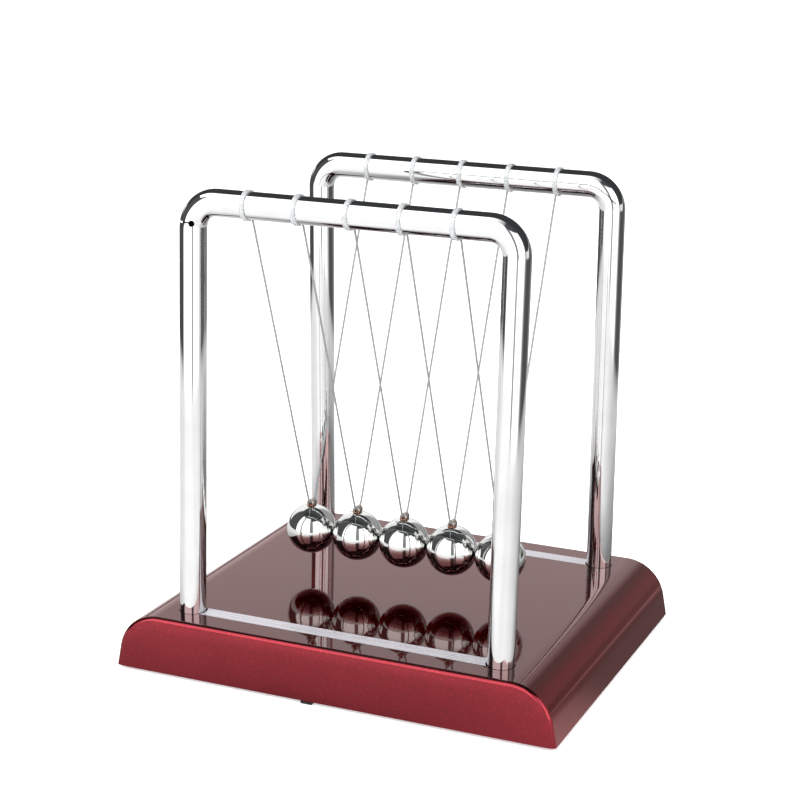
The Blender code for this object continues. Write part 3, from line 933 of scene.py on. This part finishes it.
def make_floor():
    """The pale floor that the camera sees, its top at Z 0."""
    width, thickness = 30.0, 0.02
    floor = box("floor", (width, width, thickness), (0.0, 0.0, -thickness / 2))
    material, tree, shader = new_material("pale_floor")
    shader.inputs["Roughness"].default_value = 0.9
    shader.inputs["Specular IOR Level"].default_value = 0.0
    tone = ramp(tree, noise(tree, 3.0), [(0.3, (0.90, 0.90, 0.90)), (0.7, (0.92, 0.92, 0.92))])
    tree.links.new(tone, shader.inputs["Base Color"])
    shader.inputs["Emission Color"].default_value = (1.0, 1.0, 1.0, 1.0)
    shader.inputs["Emission Strength"].default_value = 0.45
    floor.data.materials.append(material)
    floor.visible_glossy = False


def glow(name, size, centre, color_of, soft):
    """A card that only reflections see; color_of sets its light and soft how solid it is."""
    card = box(name, size, centre)
    material = bpy.data.materials.new(name)
    material.use_nodes = True
    tree = material.node_tree
    tree.nodes.clear()
    output = add_node(tree, "ShaderNodeOutputMaterial")
    emission = add_node(tree, "ShaderNodeEmission")
    clear = add_node(tree, "ShaderNodeBsdfTransparent")
    mixer = add_node(tree, "ShaderNodeMixShader")
    color_of(tree, emission)
    soft(tree, mixer)
    tree.links.new(clear.outputs[0], mixer.inputs[1])
    tree.links.new(emission.outputs[0], mixer.inputs[2])
    tree.links.new(mixer.outputs[0], output.inputs["Surface"])
    card.data.materials.append(material)
    only_in_reflections(card)


def make_table_card():
    """The lit part of the table, as the chrome sees it: bright near, gone further out."""

    def color_of(tree, emission):
        coordinates = add_node(tree, "ShaderNodeTexCoord")
        x, y, _ = turned(tree, coordinates.outputs["Object"])
        behind = math_node(tree, "ADD", x, y)
        lobes = [
            (-180, 0.60), (-120, 0.60), (-80, 0.64), (-60, 0.78), (-20, 0.78), (0, 0.70), (20, 0.72),
            (45, 0.60), (75, 0.46), (110, 0.44), (150, 0.46), (180, 0.60),
        ]
        length = add_node(tree, "ShaderNodeVectorMath", operation="LENGTH")
        tree.links.new(coordinates.outputs["Object"], length.inputs[0])
        shadow = math_node(tree, "MULTIPLY", math_node(tree, "MAXIMUM", behind, 0.0), 0.35)
        before = math_node(tree, "MAXIMUM", math_node(tree, "MULTIPLY", y, -0.5), 0.0)
        reach = math_node(tree, "ADD", math_node(tree, "SUBTRACT", length.outputs["Value"], shadow), before)
        near = ramp(tree, reach, [(0.10, 0.35), (0.13, 0.60), (0.22, 1.0)])
        shade = math_node(tree, "MULTIPLY", ramp(tree, bearing(tree, x, y), around(lobes)), near)
        tree.links.new(shade, emission.inputs["Color"])
        emission.inputs["Strength"].default_value = 1.6

    def soft(tree, mixer):
        coordinates = add_node(tree, "ShaderNodeTexCoord")
        length = add_node(tree, "ShaderNodeVectorMath", operation="LENGTH")
        tree.links.new(coordinates.outputs["Object"], length.inputs[0])
        x, _, _ = turned(tree, coordinates.outputs["Object"])
        reach = math_node(tree, "ADD", length.outputs["Value"], math_node(tree, "MULTIPLY", x, 0.14))
        edge = ramp(tree, reach, [(0.46, 1.0), (0.58, 0.0)])
        tree.links.new(edge, mixer.inputs[0])

    width = 1.6
    glow("table_card", (width, width, CARD_THICKNESS), (0.0, 0.0, -0.0003), color_of, soft)


def make_bar_cards():
    """What the two bars see overhead: a dark gap above each, and the edge of the light in front of it."""

    def glow_of(color, strength):
        def color_of(tree, emission):
            emission.inputs["Color"].default_value = (*color, 1.0)
            emission.inputs["Strength"].default_value = strength

        return color_of

    def solid(tree, mixer):
        mixer.inputs[0].default_value = 1.0

    def fading(tree, mixer):
        x, _, _ = split_axes(tree, add_node(tree, "ShaderNodeTexCoord").outputs["Object"])
        tree.links.new(ramp(tree, x, [(0.050, 1.0), (0.062, 0.0)]), mixer.inputs[0])

    dark = glow_of((0.045, 0.048, 0.052), 1.0)
    bright = glow_of((1.0, 1.0, 1.0), 1.9)
    height = 0.193
    for name, low, high, color_of, soft in (
        ("front_bar_gap", (-0.110, -0.0587), (0.200, -0.005), dark, solid),
        ("back_bar_gap", (-0.110, 0.0518), (0.200, 0.120), dark, solid),
        ("front_bar_light", (-0.066, -0.0630), (0.064, -0.0587), bright, fading),
        ("back_bar_light", (-0.066, 0.0484), (0.064, 0.0518), bright, fading),
    ):
        size = (high[0] - low[0], high[1] - low[1], CARD_THICKNESS)
        centre = ((low[0] + high[0]) / 2, (low[1] + high[1]) / 2, height)
        glow(name, size, centre, color_of, soft)


def make_lights():
    """Soft lamps that light the paint, plastic and nylon; the polished parts see the room instead."""
    target = Vector((0.0, 0.0, 0.05))
    lamps = [
        ("key", (-0.5, -0.9, 0.9), 0.8, 9.0),
        ("fill", (0.9, -0.4, 0.7), 0.8, 4.0),
        ("top", (0.0, 0.2, 1.2), 1.0, 9.0),
    ]
    for name, place, size, power in lamps:
        data = bpy.data.lights.new(name, "AREA")
        data.shape = "DISK"
        data.size = size
        data.energy = power
        lamp = bpy.data.objects.new(name, data)
        bpy.context.scene.collection.objects.link(lamp)
        lamp.location = place
        aim = target - Vector(place)
        lamp.rotation_euler = aim.to_track_quat("-Z", "Y").to_euler()
        lamp.visible_glossy = False
        lamp.visible_camera = False


# ---------------------------------------------------------------- build
bpy.context.scene.view_settings.view_transform = "Standard"
make_camera()
make_materials()
make_base()
keep_cad("base_cover", "black_plastic", bevel=0.0003)
keep_cad("ballast_plate", "plain_steel", bevel=0.0005)
for word, side in SIDES:
    keep_cad(f"{word}_strip", "silver_strip", bevel=0.00012)
    make_frame(word, side)
    for hand, sx in HANDS:
        keep_cad(f"{word}_{hand}_insert", "brass_insert", bevel=0.0001)
        make_screw(word, hand, sx, side)
        make_foot(word, hand)
    for number in NUMBERS:
        make_collar(word, number)
        make_knot(word, number)
for number in NUMBERS:
    make_ball(number)
    make_eyelet(number)
    make_braze(number)
    make_line(number)
make_world()
make_floor()
make_table_card()
make_bar_cards()
make_lights()
